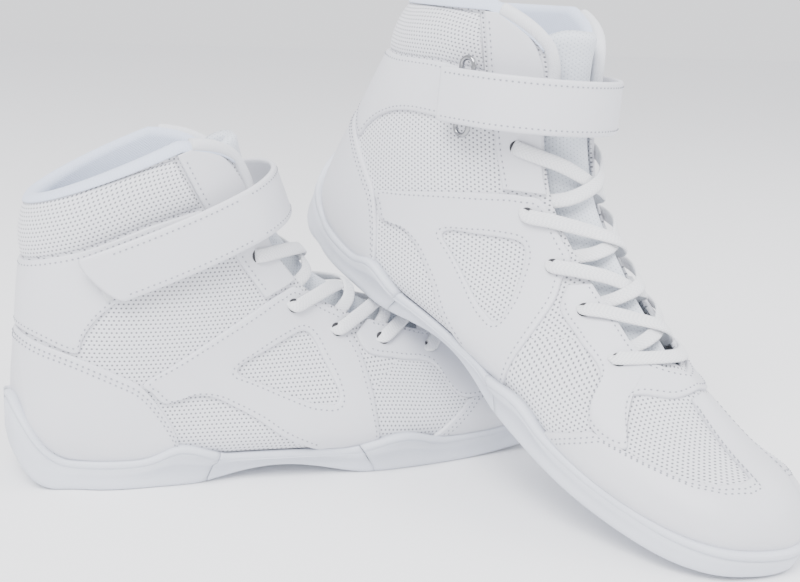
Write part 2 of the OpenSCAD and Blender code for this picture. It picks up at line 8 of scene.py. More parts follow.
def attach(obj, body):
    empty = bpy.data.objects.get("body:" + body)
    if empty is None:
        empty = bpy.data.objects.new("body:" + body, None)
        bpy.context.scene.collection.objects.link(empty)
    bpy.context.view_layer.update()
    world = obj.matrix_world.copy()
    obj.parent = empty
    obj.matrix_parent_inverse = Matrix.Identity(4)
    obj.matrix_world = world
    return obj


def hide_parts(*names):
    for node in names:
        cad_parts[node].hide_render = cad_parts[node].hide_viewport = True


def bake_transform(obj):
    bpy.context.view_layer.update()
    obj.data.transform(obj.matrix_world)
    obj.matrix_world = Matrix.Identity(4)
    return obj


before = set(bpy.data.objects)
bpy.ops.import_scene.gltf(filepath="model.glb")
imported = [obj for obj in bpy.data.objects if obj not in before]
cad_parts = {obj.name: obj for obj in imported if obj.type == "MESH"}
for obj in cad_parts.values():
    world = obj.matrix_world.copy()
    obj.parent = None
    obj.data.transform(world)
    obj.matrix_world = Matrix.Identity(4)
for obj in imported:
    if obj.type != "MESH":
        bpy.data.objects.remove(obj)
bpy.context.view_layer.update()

# ---------------------------------------------------------------- the shoe's own frame
# Lengths are in millimetres in the right shoe's frame until a piece is placed:
# +X heel to toe, -Y the outer side, z = 0 the floor. The left shoe is the right one mirrored.

MM = 0.001
ORIGIN = Vector((45, 0, 0))
LATERAL = -1
MEDIAL = 1
LEAN_AT = Vector((148.5, 54, 93.31))
LEAN = (Matrix.Rotation(math.radians(-65), 4, "Z") @ Matrix.Rotation(math.radians(24.2), 4, "Y")
        @ Matrix.Rotation(math.radians(-1.7), 4, "X"))
TO_FRAME = Matrix.Scale(MM, 4) @ Matrix.Translation(-ORIGIN)
PLACE = {
    "right": TO_FRAME,
    "left": TO_FRAME @ Matrix.Translation(LEAN_AT) @ LEAN @ Matrix.Scale(-1, 4, (0, 1, 0)),
}

# The last, from the collar to the toe: front x, z; back or bottom x, z; half width; fullness
FAN = [
    (92.5, 146, 10, 111.5, 29.5, 0.50, 0.50),
    (95.5, 130, 8.5, 96, 29, 0.50, 0.50),
    (101.5, 115, 7.5, 81, 29, 0.50, 0.49),
    (108.5, 101, 6.3, 66, 30, 0.50, 0.47),
    (116.5, 90, 4.8, 50.5, 31, 0.52, 0.45),
    (125.5, 81, 4.2, 34.5, 31.5, 0.54, 0.42),
    (137, 74, 7, 17, 32, 0.56, 0.36),
    (149, 68, 24, 7.5, 33, 0.58, 0.30),
    (159.5, 63, 52, 7, 34, 0.60, 0.27),
    (170.5, 59, 84, 9, 35.5, 0.62, 0.25),
    (182, 54.5, 119, 9, 37.5, 0.63, 0.24),
    (194, 50.5, 151, 7.5, 39, 0.64, 0.24),
    (208, 46.5, 184, 7.5, 39, 0.62, 0.24),
    (224, 43, 212, 10, 36.5, 0.57, 0.24),
    (240.5, 41, 236, 13, 30.5, 0.50, 0.26),
    (252.5, 35.5, 249.5, 17, 20, 0.48, 0.34),
    (258, 25, 258, 25, 0, 0.50, 0.50),
]
TOE = len(FAN) - 1


def fan_row(i):
    """Row i of the fan, carried on past both ends."""
    if i < 0:
        return tuple(2 * a - b for a, b in zip(FAN[0], FAN[1]))
    if i <= TOE:
        return FAN[i]
    s = FAN[TOE - 1]
    return (s[2], s[3], s[0], s[1], -s[4], s[5], s[6])


def spline(a, b, c, d, f):
    """Catmull-Rom between b and c."""
    return 0.5 * (2 * b + (c - a) * f + (2 * a - 5 * b + 4 * c - d) * f * f
                  + (3 * b - a - 3 * c + d) * f * f * f)


def section(t):
    """Smooth section of the last at t."""
    i = max(min(math.floor(t), TOE - 1), 0)
    rows = [fan_row(i + k) for k in (-1, 0, 1, 2)]
    return [spline(*values, t - i) for values in zip(*rows)]


def clamp(v, low=0.0, high=1.0):
    return max(min(v, high), low)


def ease(v):
    c = clamp(v)
    return c * c * (3 - 2 * c)


def centre(x):
    """Centre line in plan: the toe turns to the inner side."""
    return 8 * ease((x - 90) / 172) - 4 * math.exp(-((x - 130) / 42) ** 2)


def last_point(t, w):
    """Point of the last: w is -1 or 1 at the front and 0 at the back or bottom."""
    v = w - 2 if w > 1 else w + 2 if w < -1 else w
    fx, fz, bx, bz, half, a, b = section(t)
    q = (1 - math.cos(math.pi * (1 - abs(v)))) / 2
    full = (a / (a + b)) ** a * (b / (a + b)) ** b
    x = fx + q * (bx - fx)
    y = half * q ** a * max(1 - q, 0) ** b / full * (1 if v > 0 else -1)
    return Vector((x, y + centre(x), fz + q * (bz - fz)))


def skin(t, w, out):
    """The same point moved out along the skin's normal."""
    if t > TOE - 0.02:
        return last_point(TOE, 0.001) + Vector((out, 0, 0))
    along_t = last_point(t + 0.01, w) - last_point(t - 0.01, w)
    along_w = last_point(t, w + 0.004) - last_point(t, w - 0.004)
    return last_point(t, w) + along_w.cross(along_t).normalized() * out


def on_last(x, z, side):
    """Side-view point to (t, w)."""
    low, high = 0.0, TOE - 0.05
    for _ in range(18):
        t = (low + high) / 2
        fx, fz, bx, bz, *_rest = section(t)
        if (bx - fx) * (z - fz) - (bz - fz) * (x - fx) > 0:
            low = t
        else:
            high = t
    fx, fz, bx, bz, *_rest = section(t)
    dx, dz = bx - fx, bz - fz
    q = clamp(((x - fx) * dx + (z - fz) * dz) / (dx * dx + dz * dz))
    return t, side * (1 - math.acos(1 - 2 * q) / math.pi)


def along(points, u, closed=False):
    """Point at u on a smooth curve through the points."""
    n = len(points)
    s = u * (n if closed else n - 1)
    i = math.floor(s) if closed else min(math.floor(s), n - 2)
    if closed:
        rows = [points[(i + k) % n] for k in (-1, 0, 1, 2)]
    else:
        rows = [points[clamp_index(i + k, n)] for k in (-1, 0, 1, 2)]
    return tuple(spline(*values, s - i) for values in zip(*rows))


def clamp_index(i, n):
    return max(min(i, n - 1), 0)


def mix(a, b, f):
    return tuple(p + (q - p) * f for p, q in zip(a, b))


# ---------------------------------------------------------------- meshes
def grid(columns, rows, point, upright=None):
    """Mesh of columns x rows cells through point(i, j), with its own lengths as the UV map.

    With upright given, the UV map is the side view as far as that row, and runs along the shoe
    and round its girth beyond it.
    """
    bm = bmesh.new()
    bmesh.ops.create_grid(bm, x_segments=columns, y_segments=rows, size=0.5)
    spots = [[point(i, j) for j in range(rows + 1)] for i in range(columns + 1)]
    across = [[0.0] * (rows + 1) for _ in spots]
    down = [[0.0] * (rows + 1) for _ in spots]
    girth = [[0.0] * (rows + 1) for _ in spots]
    for i in range(columns + 1):
        for j in range(rows + 1):
            if i:
                step = spots[i][j] - spots[i - 1][j]
                across[i][j] = across[i - 1][j] + step.length
                girth[i][j] = girth[i - 1][j] + math.hypot(step.y, step.z)
            if j:
                down[i][j] = down[i][j - 1] + (spots[i][j] - spots[i][j - 1]).length
    middle = columns // 2
    uv = bm.loops.layers.uv.new("lengths")
    cells = {v: (round((v.co.x + 0.5) * columns), round((v.co.y + 0.5) * rows)) for v in bm.verts}
    for face in bm.faces:
        last_row = max(cells[v][1] for v in face.verts)
        for loop in face.loops:
            i, j = cells[loop.vert]
            if upright is None:
                u, v = across[i][j] - across[middle][j], down[i][j]
            elif last_row <= upright:
                u, v = spots[i][j].x, spots[i][j].z
            else:
                u, v = spots[i][j].x, girth[i][j] - girth[middle][j]
            loop[uv].uv = (u * MM, v * MM)
    for v, (i, j) in cells.items():
        v.co = spots[i][j]
    return bm


def closed(bm):
    """Merges what meets, fills open ends and turns the faces outward."""
    bmesh.ops.remove_doubles(bm, verts=bm.verts, dist=0.002)
    bmesh.ops.dissolve_degenerate(bm, edges=bm.edges, dist=0.0005)
    bmesh.ops.holes_fill(bm, edges=bm.edges, sides=0)
    bmesh.ops.recalc_face_normals(bm, faces=bm.faces)
    return bm


def loft(sections, ring=False):
    """Skin over closed sections that all have the same number of points."""
    n, m = len(sections), len(sections[0])
    return closed(grid(n if ring else n - 1, m, lambda i, j: sections[i % n][j % m]))


def join(whole, half):
    """Adds a finished mesh to a larger one and frees it."""
    mesh = bpy.data.meshes.new("half")
    half.to_mesh(mesh)
    whole.from_mesh(mesh)
    bpy.data.meshes.remove(mesh)
    half.free()


def put(name, bm, material, body, nodes=()):
    """Adds the piece to the right shoe and its mirror image to the left one."""
    made = []
    for side in ("right", "left"):
        copy = bm.copy()
        copy.transform(PLACE[side])
        if side == "left":
            bmesh.ops.reverse_faces(copy, faces=copy.faces)
        mesh = bpy.data.meshes.new(f"{side}_{name}")
        copy.to_mesh(mesh)
        copy.free()
        mesh.shade_smooth()
        mesh.materials.append(material)
        piece = bpy.data.objects.new(f"{side}_{name}", mesh)
        bpy.context.scene.collection.objects.link(piece)
        if body:
            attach(piece, f"{side}_{body}")
        if nodes:
            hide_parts(*[f"{side}_{node}" for node in nodes])
        made.append(piece)
    bm.free()
    return made


# ---------------------------------------------------------------- node tools
def node_tree(name):
    material = bpy.data.materials.new(name)
    material.use_nodes = True
    tree = material.node_tree
    return material, tree, tree.nodes["Principled BSDF"]


def add(tree, kind, inputs=None, **settings):
    node = tree.nodes.new(kind)
    for key, value in settings.items():
        setattr(node, key, value)
    for key, value in (inputs or {}).items():
        if isinstance(value, bpy.types.NodeSocket):
            tree.links.new(value, node.inputs[key])
        else:
            node.inputs[key].default_value = value
    return node


def maths(tree, operation, a, b=0.0, c=0.0):
    return add(tree, "ShaderNodeMath", {0: a, 1: b, 2: c}, operation=operation).outputs[0]


def effect(name, inputs, outputs):
    """Empty shader node group with named sockets."""
    group = bpy.data.node_groups.new(name, "ShaderNodeTree")
    for label, kind, value in inputs:
        socket = group.interface.new_socket(name=label, in_out="INPUT", socket_type=kind)
        if value is not None:
            socket.default_value = value
    for label, kind in outputs:
        group.interface.new_socket(name=label, in_out="OUTPUT", socket_type=kind)
    return group, group.nodes.new("NodeGroupInput"), group.nodes.new("NodeGroupOutput")


def use(tree, group, inputs):
    return add(tree, "ShaderNodeGroup", inputs, node_tree=group)


FLOAT, VECTOR = "NodeSocketFloat", "NodeSocketVector"


def make_knit_holes_shaded():
    """Staggered round holes in a knit, on the piece's own lengths: a mask for painting the shade seen
    through the holes, and a bump height.
    """
    group, given, result = effect(
        "knit_holes_shaded", [("Lengths", VECTOR, None), ("Pitch", FLOAT, 0.0018), ("Hole", FLOAT, 0.3)],
        [("Hole", FLOAT), ("Height", FLOAT)])
    split = add(group, "ShaderNodeSeparateXYZ", {0: given.outputs["Lengths"]})
    row_step = maths(group, "MULTIPLY", given.outputs["Pitch"], 0.87)
    v = maths(group, "DIVIDE", split.outputs[1], row_step)
    row = maths(group, "FLOOR", v)
    shift = maths(group, "MULTIPLY", maths(group, "FLOORED_MODULO", row, 2.0), 0.5)
    u = maths(group, "ADD", maths(group, "DIVIDE", split.outputs[0], given.outputs["Pitch"]), shift)
    across = maths(group, "SUBTRACT", maths(group, "FRACT", u), 0.5)
    down = maths(group, "SUBTRACT", maths(group, "FRACT", v), 0.5)
    reach = maths(group, "SQRT", maths(group, "ADD", maths(group, "MULTIPLY", across, across),
                                       maths(group, "MULTIPLY", down, down)))
    edge = maths(group, "SUBTRACT", given.outputs["Hole"], reach)
    hole = maths(group, "MULTIPLY", edge, 9.0)
    # The Hole mask darkens the colour inside each hole: painted shade seen through the knit.
    group.links.new(add(group, "ShaderNodeClamp", {0: hole}).outputs[0], result.inputs["Hole"])
    group.links.new(maths(group, "SMOOTH_MIN", reach, 0.42, 0.12), result.inputs["Height"])
    return group


def make_grain():
    """Fine grain with a slow unevenness, on Object coordinates."""
    group, given, result = effect(
        "grain", [("Scale", FLOAT, 900.0), ("Fine", FLOAT, 0.5), ("Slow", FLOAT, 0.5)],
        [("Height", FLOAT), ("Tone", FLOAT)])
    place = add(group, "ShaderNodeTexCoord").outputs["Object"]
    fine = add(group, "ShaderNodeTexNoise",
               {"Vector": place, "Scale": given.outputs["Scale"], "Detail": 3.0})
    slow = add(group, "ShaderNodeTexNoise", {"Vector": place, "Scale": 55.0, "Detail": 2.0})
    a = maths(group, "MULTIPLY", fine.outputs["Fac"], given.outputs["Fine"])
    b = maths(group, "MULTIPLY", slow.outputs["Fac"], given.outputs["Slow"])
    group.links.new(maths(group, "ADD", a, b), result.inputs["Height"])
    group.links.new(slow.outputs["Fac"], result.inputs["Tone"])
    return group


KNIT_HOLES_SHADED = make_knit_holes_shaded()
GRAIN = make_grain()


def two_tone(tree, mask, light, dark):
    """Colour between two, by a mask."""
    ramp = add(tree, "ShaderNodeMix", {"Factor": mask, "A": (*light, 1), "B": (*dark, 1)}, data_type="RGBA")
    return ramp.outputs["Result"]


def bump(tree, shader, height, strength, distance):
    node = add(tree, "ShaderNodeBump", {"Height": height, "Strength": strength, "Distance": distance})
    tree.links.new(node.outputs["Normal"], shader.inputs["Normal"])


def grained(name, light, dark, roughness, scale, fine, slow, strength=0.25, distance=0.0004, **sockets):
    """Smooth material with grain, a slow tone change and a constant shader set-up."""
    material, tree, shader = node_tree(name)
    grain = use(tree, GRAIN, {"Scale": scale, "Fine": fine, "Slow": slow})
    tone = two_tone(tree, grain.outputs["Tone"], light, dark)
    tree.links.new(tone, shader.inputs["Base Color"])
    bump(tree, shader, grain.outputs["Height"], strength, distance)
    shader.inputs["Roughness"].default_value = roughness
    for key, value in sockets.items():
        shader.inputs[key.replace("_", " ")].default_value = value
    return material


def knitted(name, light, dark, pitch, hole, strength=0.6):
    """Open knit with staggered holes, the holes painted dark as the shade seen through them."""
    material, tree, shader = node_tree(name)
    lengths = add(tree, "ShaderNodeUVMap", uv_map="lengths").outputs[0]
    knit = use(tree, KNIT_HOLES_SHADED, {"Lengths": lengths, "Pitch": pitch, "Hole": hole})
    tree.links.new(two_tone(tree, knit.outputs["Hole"], light, dark), shader.inputs["Base Color"])
    bump(tree, shader, knit.outputs["Height"], strength, 0.0005)
    shader.inputs["Roughness"].default_value = 0.85
    shader.inputs["Sheen Weight"].default_value = 0.25
    return material


def woven(name, light, dark, across, along_, strength=0.5):
    """Fine crossed ribs on the piece's own lengths."""
    material, tree, shader = node_tree(name)
    lengths = add(tree, "ShaderNodeUVMap", uv_map="lengths").outputs[0]
    split = add(tree, "ShaderNodeSeparateXYZ", {0: lengths})
    u = maths(tree, "SINE", maths(tree, "MULTIPLY", split.outputs[0], 2 * math.pi / across))
    v = maths(tree, "SINE", maths(tree, "MULTIPLY", split.outputs[1], 2 * math.pi / along_))
    rib = maths(tree, "MULTIPLY_ADD", maths(tree, "MULTIPLY", u, v), 0.5, 0.5)
    tree.links.new(two_tone(tree, rib, dark, light), shader.inputs["Base Color"])
    bump(tree, shader, rib, strength, 0.0003)
    shader.inputs["Roughness"].default_value = 0.8
    shader.inputs["Sheen Weight"].default_value = 0.3
    return material


SMOOTH_OVERLAY = grained("smooth_overlay", (0.70, 0.705, 0.745), (0.665, 0.67, 0.71),
                         0.42, 1100, 0.35, 0.65, Specular_IOR_Level=0.4)
WHITE_RUBBER = grained("white_rubber", (0.68, 0.705, 0.77), (0.64, 0.67, 0.74), 0.5, 700, 0.3, 0.4)
SHANK_PLASTIC = grained("shank_plastic", (0.68, 0.71, 0.78), (0.64, 0.67, 0.75), 0.42, 500, 0.2, 0.4)
FIBRE_BOARD = grained("fibre_board", (0.62, 0.52, 0.38), (0.52, 0.43, 0.30), 0.9, 1500, 1.0, 0.3)
# Dark grey stitches: white thread with the needle-hole shadows painted into its colour.
THREAD_HOLE_SHADE = grained("thread_and_needle_hole_shade", (0.34, 0.35, 0.39), (0.28, 0.29, 0.33), 0.7, 3000, 0.6, 0.2)
# Near-black painted shade for the eyelet holes.
EYELET_HOLE_SHADE = grained("eyelet_hole_shade", (0.05, 0.05, 0.055), (0.03, 0.03, 0.035), 0.9, 900, 0.5, 0.5)
TIP_PLASTIC = grained("tip_plastic", (0.74, 0.75, 0.78), (0.70, 0.71, 0.74), 0.25, 300, 0.1, 0.3)
HOOK_TAPE = grained("hook_tape", (0.72, 0.73, 0.75), (0.60, 0.61, 0.63), 0.95, 1600, 1.0, 0.2, 0.9)
CHROME = grained("chrome", (0.38, 0.385, 0.40), (0.30, 0.305, 0.32),
                 0.16, 300, 0.1, 0.4, 0.04, Metallic=1.0)
# The dark second colour of each knit is painted shade in the knit holes.
UPPER_KNIT_HOLE_SHADE = knitted("upper_knit_hole_shade", (0.72, 0.725, 0.76), (0.17, 0.175, 0.20), 0.0018, 0.28)
TONGUE_KNIT_HOLE_SHADE = knitted("tongue_knit_hole_shade", (0.68, 0.72, 0.78), (0.40, 0.43, 0.50), 0.0016, 0.20)
LINING_CLOTH = woven("lining_cloth", (0.66, 0.72, 0.86), (0.60, 0.67, 0.82), 0.0011, 0.0011)
LACE_BRAID = woven("lace_braid", (0.86, 0.865, 0.88), (0.68, 0.69, 0.72), 0.0016, 0.0012)
BINDING = woven("binding", (0.76, 0.775, 0.81), (0.70, 0.71, 0.75), 0.0009, 0.0009)

# ---------------------------------------------------------------- layers and edges
KNIT_TOP = -0.3
OVERLAY_TOP = 1.1
OVERLAY_BASE = -1.1
EDGE = 0.7

THROAT = 0.81
THROAT_END = 10.75
EYELETS = (3.42, 5.45, 7.05, 8.6, 10.15)
EYELET_W = 0.735


CORNER = 1.4
CORNER_BACK = 0.22


def rim(w):
    """Top edge of the collar as t: level, then down round the front corner."""
    return max(CORNER * (1 - math.sqrt(max(THROAT - abs(w), 0) / CORNER_BACK)), 0)


def throat_reach(t):
    if t < CORNER:
        return THROAT - CORNER_BACK * (1 - max(t, 0) / CORNER) ** 2
    if t < 9.8:
        return THROAT
    return THROAT + (1 - THROAT) * ease((t - 9.8) / (THROAT_END - 9.8))


def side_place(side):
    """Places side-view points on one side of the shoe."""
    return lambda p, out: skin(*on_last(p[0], p[1], side), out)


def panel_sections(place, inner, outer, n, m, ring=False, top=OVERLAY_TOP, base=OVERLAY_BASE, crown=0.0,
                   spacing=lambda u: u):
    """Closed sections of a panel between two edge curves, with rounded top edges."""
    sections = []
    for i in range(n if ring else n + 1):
        u = spacing(i / n)
        a, b = inner(u), outer(u)
        width = max((place(b, 0) - place(a, 0)).length, 0.5)
        e = min(EDGE / width, 0.2)
        steps = [0, e * 0.35] + [e + (1 - 2 * e) * j / m for j in range(m + 1)] + [1 - e * 0.35, 1]
        drop = [0.55, 0.16] + [0] * (m + 1) + [0.16, 0.55]
        upper = [place(mix(a, b, s), top - d + crown * math.sin(math.pi * s) ** 0.7)
                 for s, d in zip(steps, drop)]
        lower = [place(mix(a, b, s), base) for s in reversed([0] + steps[2:-2] + [1])]
        sections.append(upper + lower)
    return sections


def stitch_row(bm, points, normals, pitch=2.3, length=1.0, radius=0.34):
    """Short thread stitches along a path."""
    run = 0.0
    due = pitch
    for k in range(1, len(points)):
        a, b = points[k - 1], points[k]
        step = (b - a).length
        while run + step >= due and step > 1e-6:
            spot = a + (b - a) * ((due - run) / step)
            ahead = (b - a).normalized()
            side = ahead.cross(normals[k]).normalized()
            axes = (ahead * (length / 2), side * radius, side.cross(ahead) * radius)
            turn = Matrix(axes).transposed().to_4x4()
            bmesh.ops.create_icosphere(bm, subdivisions=1, radius=1, matrix=Matrix.Translation(spot) @ turn)
            due += pitch
        run += step


def edge_stitches(bm, place, near, far, inset, n=160, start=0.0, end=1.0, top=OVERLAY_TOP):
    """Stitches a set distance inside the edge curve near, towards the curve far."""
    points, normals = [], []
    for k in range(n + 1):
        u = start + (end - start) * k / n
        a, b = near(u), far(u)
        width = max((place(b, 0) - place(a, 0)).length, 0.5)
        p = mix(a, b, min(inset / width, 0.5))
        points.append(place(p, top + 0.02))
        normals.append(place(p, top + 1) - place(p, top))
    stitch_row(bm, points, normals)


# ---------------------------------------------------------------- knit upper
# Row up to which the knit runs as in the side view
UPRIGHT_TO = 9.5


def knit_upper():
    """The knit base of the whole upper, open at the collar and throat."""
    columns, rows = 150, 120

    def spot(i, j):
        k = 2 * i / columns - 1
        t0 = 0.02
        t = t0 + (TOE - t0) * j / rows
        return skin(t, k * throat_reach(t), KNIT_TOP)

    bm = grid(columns, rows, spot, round(rows * UPRIGHT_TO / TOE))
    bmesh.ops.remove_doubles(bm, verts=bm.verts, dist=0.01)
    bmesh.ops.recalc_face_normals(bm, faces=bm.faces)
    return bm


def thick(bm, depth):
    """Gives a sheet its thickness, inward."""
    bmesh.ops.solidify(bm, geom=bm.faces[:], thickness=depth)
    return bm


put("knit_upper", thick(knit_upper(), 0.9), UPPER_KNIT_HOLE_SHADE, "shoe", ("quarter_mesh", "vamp_mesh"))

# ---------------------------------------------------------------- overlays
COLLAR_TOP = [(10, 110.8), (19, 114.3), (29, 118), (40, 122), (50, 125.6), (59.6, 128.8)]
COLLAR_SEAM = [
    (8.2, 88.8), (17, 91.8), (28, 95.4), (40, 100.3), (50, 104.4), (60, 107.4), (70.4, 110.2),
]
ANKLE_TOP = [(8.2, 88), (17, 91), (28, 94.5), (39, 99), (50, 103.5), (60, 106.5), (70.9, 109.4)]
ANKLE_LOW = [
    (5.8, 62), (12, 59.8), (24, 55.4), (26.5, 61), (31, 68), (39, 75.3), (48, 80.3), (58, 84),
    (70, 88), (82.2, 91.5),
]
HEEL_TOP = [
    (5.4, 61), (11, 58.4), (24, 54), (40.5, 46.5), (47.5, 42.3), (53.5, 35), (59, 26), (62, 18.5),
    (64, 11),
]
HEEL_LOW = [(9, 15.5), (14, 13.2), (22, 10), (32, 9), (42, 9), (50, 9), (56, 9), (60, 9), (63, 9)]
QUARTER = [
    (48.6, 43.6), (60, 50.2), (80, 62), (98, 71.8), (105, 74.8), (110, 76.4), (114.4, 74.6),
    (119.5, 70.8), (126.5, 66.8), (133, 62.8), (135, 56.5), (139, 48), (141, 36), (141.8, 25),
    (143, 13), (138, 10), (128, 10), (117, 13), (103, 19.5), (92.5, 27), (83, 32.6), (75, 36.6),
    (66.5, 37.8), (59, 35.6), (55.3, 35.8), (51.5, 39.8),
]
WINDOW = [
    (86, 47.5), (89, 49.7), (97, 53), (104, 56), (109.5, 58.2), (112.5, 59), (115, 58.8), (117, 57.5),
    (118.5, 55.5), (120, 52.5), (121.5, 48.5), (124, 43), (125.4, 39.2), (126.5, 36), (126.6, 33.4),
    (125.6, 31.6), (123.6, 30.8), (120.5, 31.2), (115, 32), (108, 34.5), (101, 37.5), (94.5, 40.5),
    (89.5, 42.7), (86.5, 44.2), (85.4, 45.3), (85.3, 46.4),
]
FACING_BACK = [
    (61.2, 130.6), (66.4, 121), (71.4, 112), (76.4, 104.5), (81.4, 96.8), (89, 85.3), (97.6, 73.6),
]
FACING_FRONT = [
    (66.5, 132.6), (79.4, 129.6), (88, 120.5), (93.2, 110), (98.4, 99), (105.4, 86.6), (111.4, 79),
]
VAMP_IN = [(10.85, 1), (10.7, 0.92), (10.4, 0.85), (10.2, 0.83), (9.9, 0.815), (9.6, 0.81), (8.9, 0.81),
           (8.1, 0.81), (7.6, 0.81)]
VAMP_OUT = [
    (11.4, 1), (11.45, 0.84), (11.15, 0.69), (12.1, 0.55), (11.5, 0.5), (10.5, 0.65), (9.5, 0.66),
    (8.65, 0.67), (7.7, 0.74),
]
TOE_SEAM = [
    (0.2, 11.35), (0.35, 11.45), (0.49, 11.6), (0.55, 12.3), (0.62, 13.05), (0.7, 13.5), (0.8, 13.75),
    (0.87, 13.75), (0.9, 11.6), (1, 11.5),
]


def around_heel(curve):
    """Edge curve that runs round the heel: u 0 is the outer end, 0.5 the back, 1 the inner end."""
    def at(u):
        s = abs(2 * u - 1)
        x, z = along(curve, s)
        return (x, z, LATERAL if u < 0.5 else MEDIAL, s)
    return at


def heel_place(p, out):
    """Places a point of a heel curve; the two sides meet at the back."""
    t, w = on_last(p[0], p[1], 1)
    if p[3] < 0.0001:
        w = 0.0001
    return skin(t, w * (LATERAL if p[2] < 0 else MEDIAL), out)


def heel_spacing(u):
    """Closer sections near the back, where the heel turns fast."""
    s = 2 * u - 1
    return 0.5 + 0.5 * math.copysign(abs(s) ** 1.6, s)


def heel_panel(name, top_curve, low_curve, material, nodes, slot, **shape):
    sections = panel_sections(heel_place, around_heel(low_curve), around_heel(top_curve), 96, 10,
                              spacing=heel_spacing, **shape)
    put(name, loft(sections), material, "shoe", nodes)


heel_panel("collar_pad", COLLAR_TOP, COLLAR_SEAM, UPPER_KNIT_HOLE_SHADE, ("collar_mesh",), "mesh", top=0.1, crown=1.9)
heel_panel("ankle_overlay", ANKLE_TOP, ANKLE_LOW, SMOOTH_OVERLAY, ("ankle_overlay",), "overlay", crown=0.5)
heel_panel("heel_overlay", HEEL_TOP, HEEL_LOW, SMOOTH_OVERLAY, ("heel_overlay",), "overlay", crown=0.3)

stitches = bmesh.new()
heel_top, heel_low = around_heel(HEEL_TOP), around_heel(HEEL_LOW)
ankle_top, ankle_low = around_heel(ANKLE_TOP), around_heel(ANKLE_LOW)
for inset in (2.2, 4.0):
    edge_stitches(stitches, heel_place, heel_top, heel_low, inset, 300, 0.03, 0.97, 1.3)
edge_stitches(stitches, heel_place, ankle_top, ankle_low, 2.0, 260, 0.02, 0.98, 1.25)
edge_stitches(stitches, heel_place, ankle_low, ankle_top, 2.0, 260, 0.02, 0.98, 1.25)

for side, label in ((LATERAL, "lateral"), (MEDIAL, "medial")):
    place = side_place(side)
    window = lambda u: along(WINDOW, u, True)
    outline = lambda u: along(QUARTER, u, True)
    quarter = loft(panel_sections(place, window, outline, 208, 7, True), True)
    put(f"{label}_quarter", quarter, SMOOTH_OVERLAY, "shoe", (f"{label}_quarter",))
    edge_stitches(stitches, place, window, outline, 2.2, 260)
    edge_stitches(stitches, place, outline, window, 2.4, 260, 0.0, 0.56)
    edge_stitches(stitches, place, outline, window, 2.4, 160, 0.65, 1.0)

facing = bmesh.new()
for side in (LATERAL, MEDIAL):
    back = lambda u: along(FACING_BACK, u)
    front = lambda u: along(FACING_FRONT, u)
    join(facing, loft(panel_sections(side_place(side), back, front, 60, 6, top=1.3)))
    edge_stitches(stitches, side_place(side), back, front, 2.0, 120, 0.04, 0.97, 1.3)
put("eyelet_facing", facing, SMOOTH_OVERLAY, "shoe", ("eyelet_facing",))


def front_place(p, out):
    """Places (t, w) points whose w passes over the front centre line."""
    return skin(p[0], p[1], out)


def vamp_curve(curve):
    """U-shaped edge: from the outer leg round the front to the inner leg, as (t, w) with w past 1."""
    def at(u):
        s = 2 * u - 1
        t, w = along(curve, abs(s))
        return (t, w if s > 0 else 2 - w)
    return at


put("vamp_overlay", loft(panel_sections(front_place, vamp_curve(VAMP_IN), vamp_curve(VAMP_OUT), 140, 6)),
    SMOOTH_OVERLAY, "shoe", ("vamp_overlay",))
edge_stitches(stitches, front_place, vamp_curve(VAMP_IN), vamp_curve(VAMP_OUT), 2.0, 260, 0.02, 0.98)
edge_stitches(stitches, front_place, vamp_curve(VAMP_OUT), vamp_curve(VAMP_IN), 2.0, 300, 0.05, 0.95)


def toe_seam(u):
    """Rear edge of the toe cap from the inner side over the front to the outer side."""
    w = 0.2 + 1.6 * u
    f = w if w <= 1 else 2 - w
    for a, b in zip(TOE_SEAM, TOE_SEAM[1:]):
        if f <= b[0]:
            break
    return (a[1] + (b[1] - a[1]) * clamp((f - a[0]) / (b[0] - a[0])), w)


def toe_front(u):
    return (TOE - 0.03, 0.2 + 1.6 * u)


put("toe_cap", loft(panel_sections(front_place, toe_seam, toe_front, 200, 20)), SMOOTH_OVERLAY, "shoe",
    ("toe_cap",))
for inset in (2.2, 4.0):
    edge_stitches(stitches, front_place, toe_seam, toe_front, inset, 400, 0.04, 0.44)
    edge_stitches(stitches, front_place, toe_seam, toe_front, inset, 400, 0.56, 0.96)


# ---------------------------------------------------------------- sole
HEEL_END, SHANK_END, CUT = 74, 143, 0.4
SOLE_BACK, SOLE_FRONT = 4.2, 258
SOLE_RUN = SOLE_FRONT - SOLE_BACK


def sole_under(x):
    heel = max(18 - x, 0) / 18
    toe = max(x - 180, 0) / 82
    arch = 5 * max(1 - ((x - 105) / 38) ** 2, 0) ** 2
    return 24 * (1 - math.sqrt(max(1 - heel * heel, 0))) + arch + 15 * toe * toe


def sole_top(x):
    return (12.3 + 25 * (max(22 - x, 0) / 22) ** 2 + 6 * math.exp(-((x - 62) / 9) ** 2)
            + 5 * math.exp(-((x - 157) / 11) ** 2) + 14 * (max(x - 185, 0) / 77) ** 2)


def sole_floor(x):
    return (5 + 10 * (max(20 - x, 0) / 20) ** 2 + 3 * math.exp(-((x - 105) / 25) ** 2)
            + 11.5 * (max(x - 195, 0) / 63) ** 1.6)


def outline_z(x):
    return 11 + 22 * (max(28 - x, 0) / 28) ** 2 + 14 * (max(x - 180, 0) / 78) ** 2


def outline_point(x, z, side, out):
    if x > 257.9:
        return skin(TOE, 0, out)
    t, w = on_last(x, z, side)
    return skin(t, 0.0001 * side if x < 4.4 else w, out)


